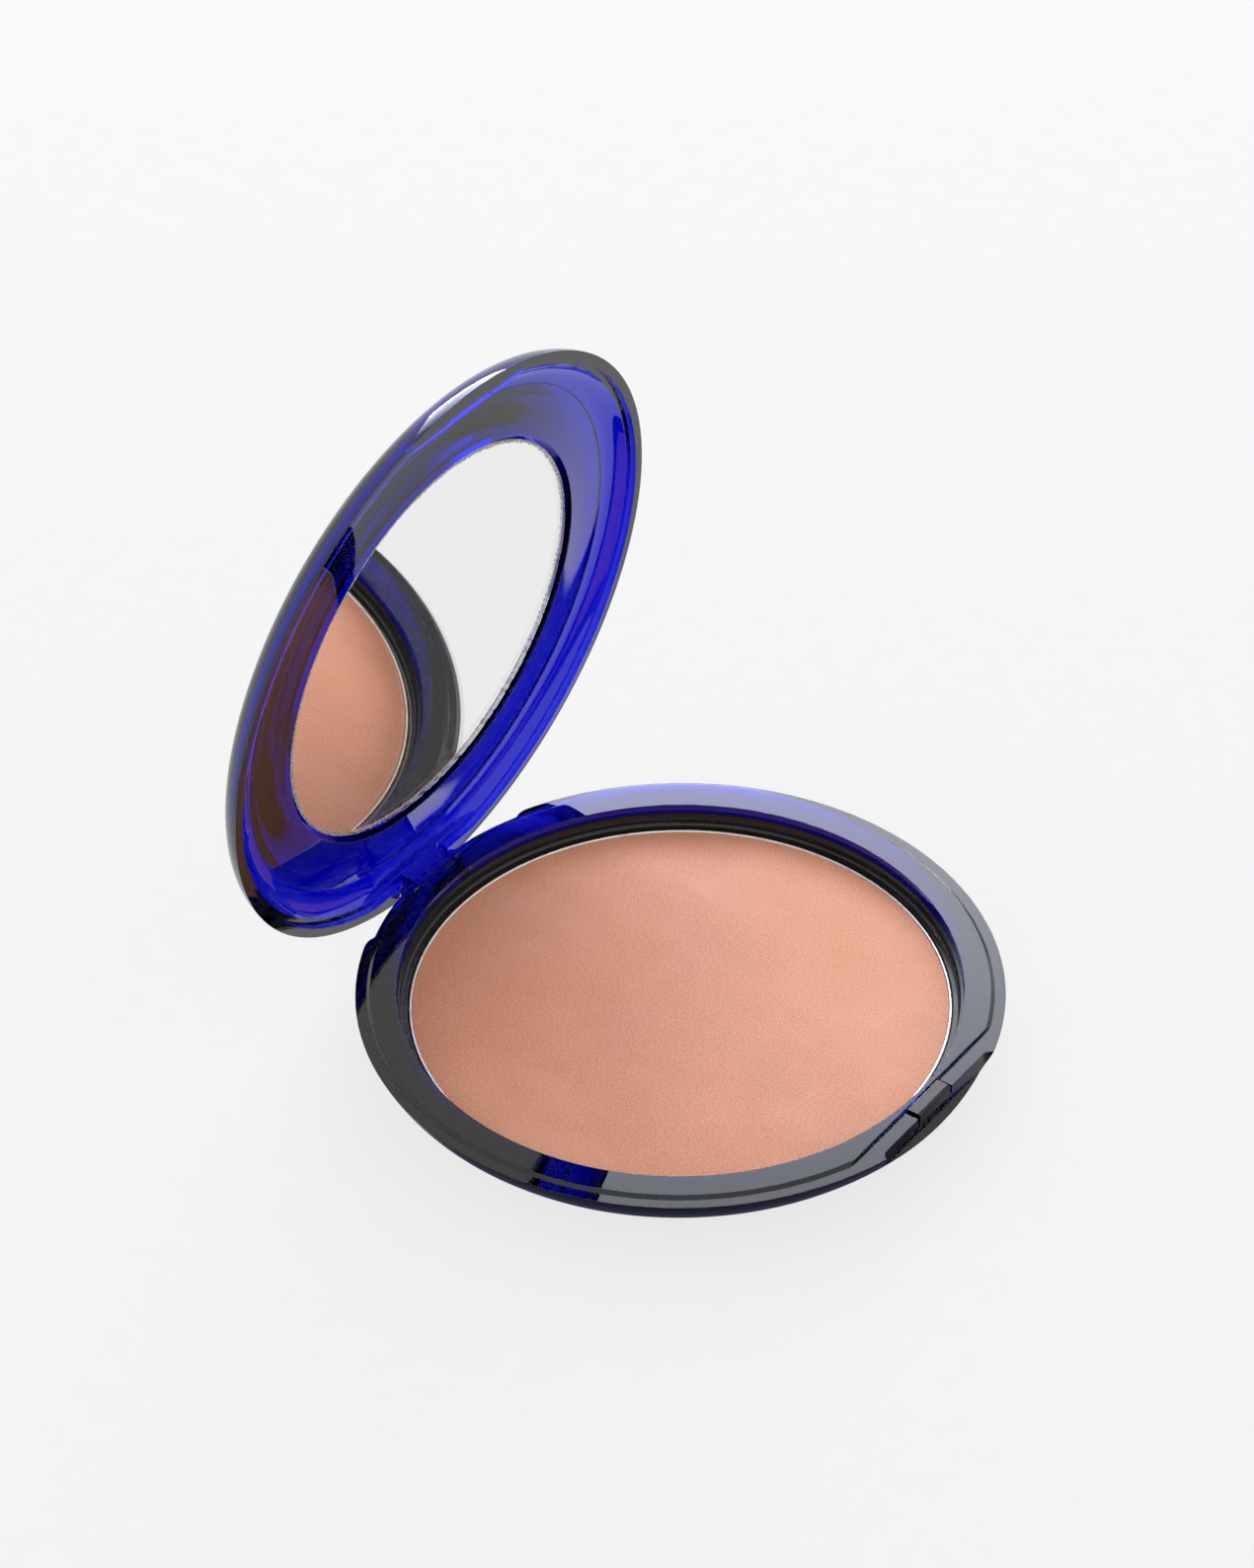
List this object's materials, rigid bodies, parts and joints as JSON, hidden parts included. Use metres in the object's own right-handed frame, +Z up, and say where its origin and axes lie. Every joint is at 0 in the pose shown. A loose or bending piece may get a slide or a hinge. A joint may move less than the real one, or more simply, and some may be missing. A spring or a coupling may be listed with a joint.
{
  "type": "powder compact",
  "caption": "Round lens-shaped makeup compact in tinted clear plastic: hinged lid with a mirror, base with a pan of pressed powder, finger notch and snap catch.",
  "frame": {"origin": "centre of the round flat foot, on the plane the compact stands on", "axes": "+Z up, square to the base's parting face; +Y from the catch and finger notch at the front (-Y) to the hinge at the back; X along the hinge pin"},
  "size_m": [0.1, 0.1037, 0.1063],
  "materials": {
    "case_blue": "polished, clear plastic tinted deep blue",
    "tray_black": "satin black",
    "pan_aluminium": "bright pressed sheet",
    "adhesive": "soft adhesive foam",
    "powder_tan": "matte pressed powder with a fine woven press mark",
    "label_paper": "blank paper",
    "pin_steel": "plain steel",
    "mirror_glass": "clear flat glass with ground edges",
    "mirror_silver": "silvered back"
  },
  "bodies": {
    "base": {"base_shell": "case_blue", "base_tray": "tray_black", "catch_block": "case_blue", "powder_pan": "pan_aluminium", "pan_adhesive": "adhesive", "pressed_powder": "powder_tan", "base_label": "label_paper", "hinge_pin": "pin_steel"},
    "lid": {"lid_shell": "case_blue", "lid_frame": "case_blue", "mirror_glass": "mirror_glass", "mirror_backing": "mirror_silver", "mirror_adhesive": "adhesive"}
  },
  "joints": [
    {"name": "lid_hinge", "type": "hinge", "parent": "base", "child": "lid", "pos_m": [0, 0.048, 0.009], "axis": [-1, 0, 0], "range_deg": [-82, 10]}
  ]
}
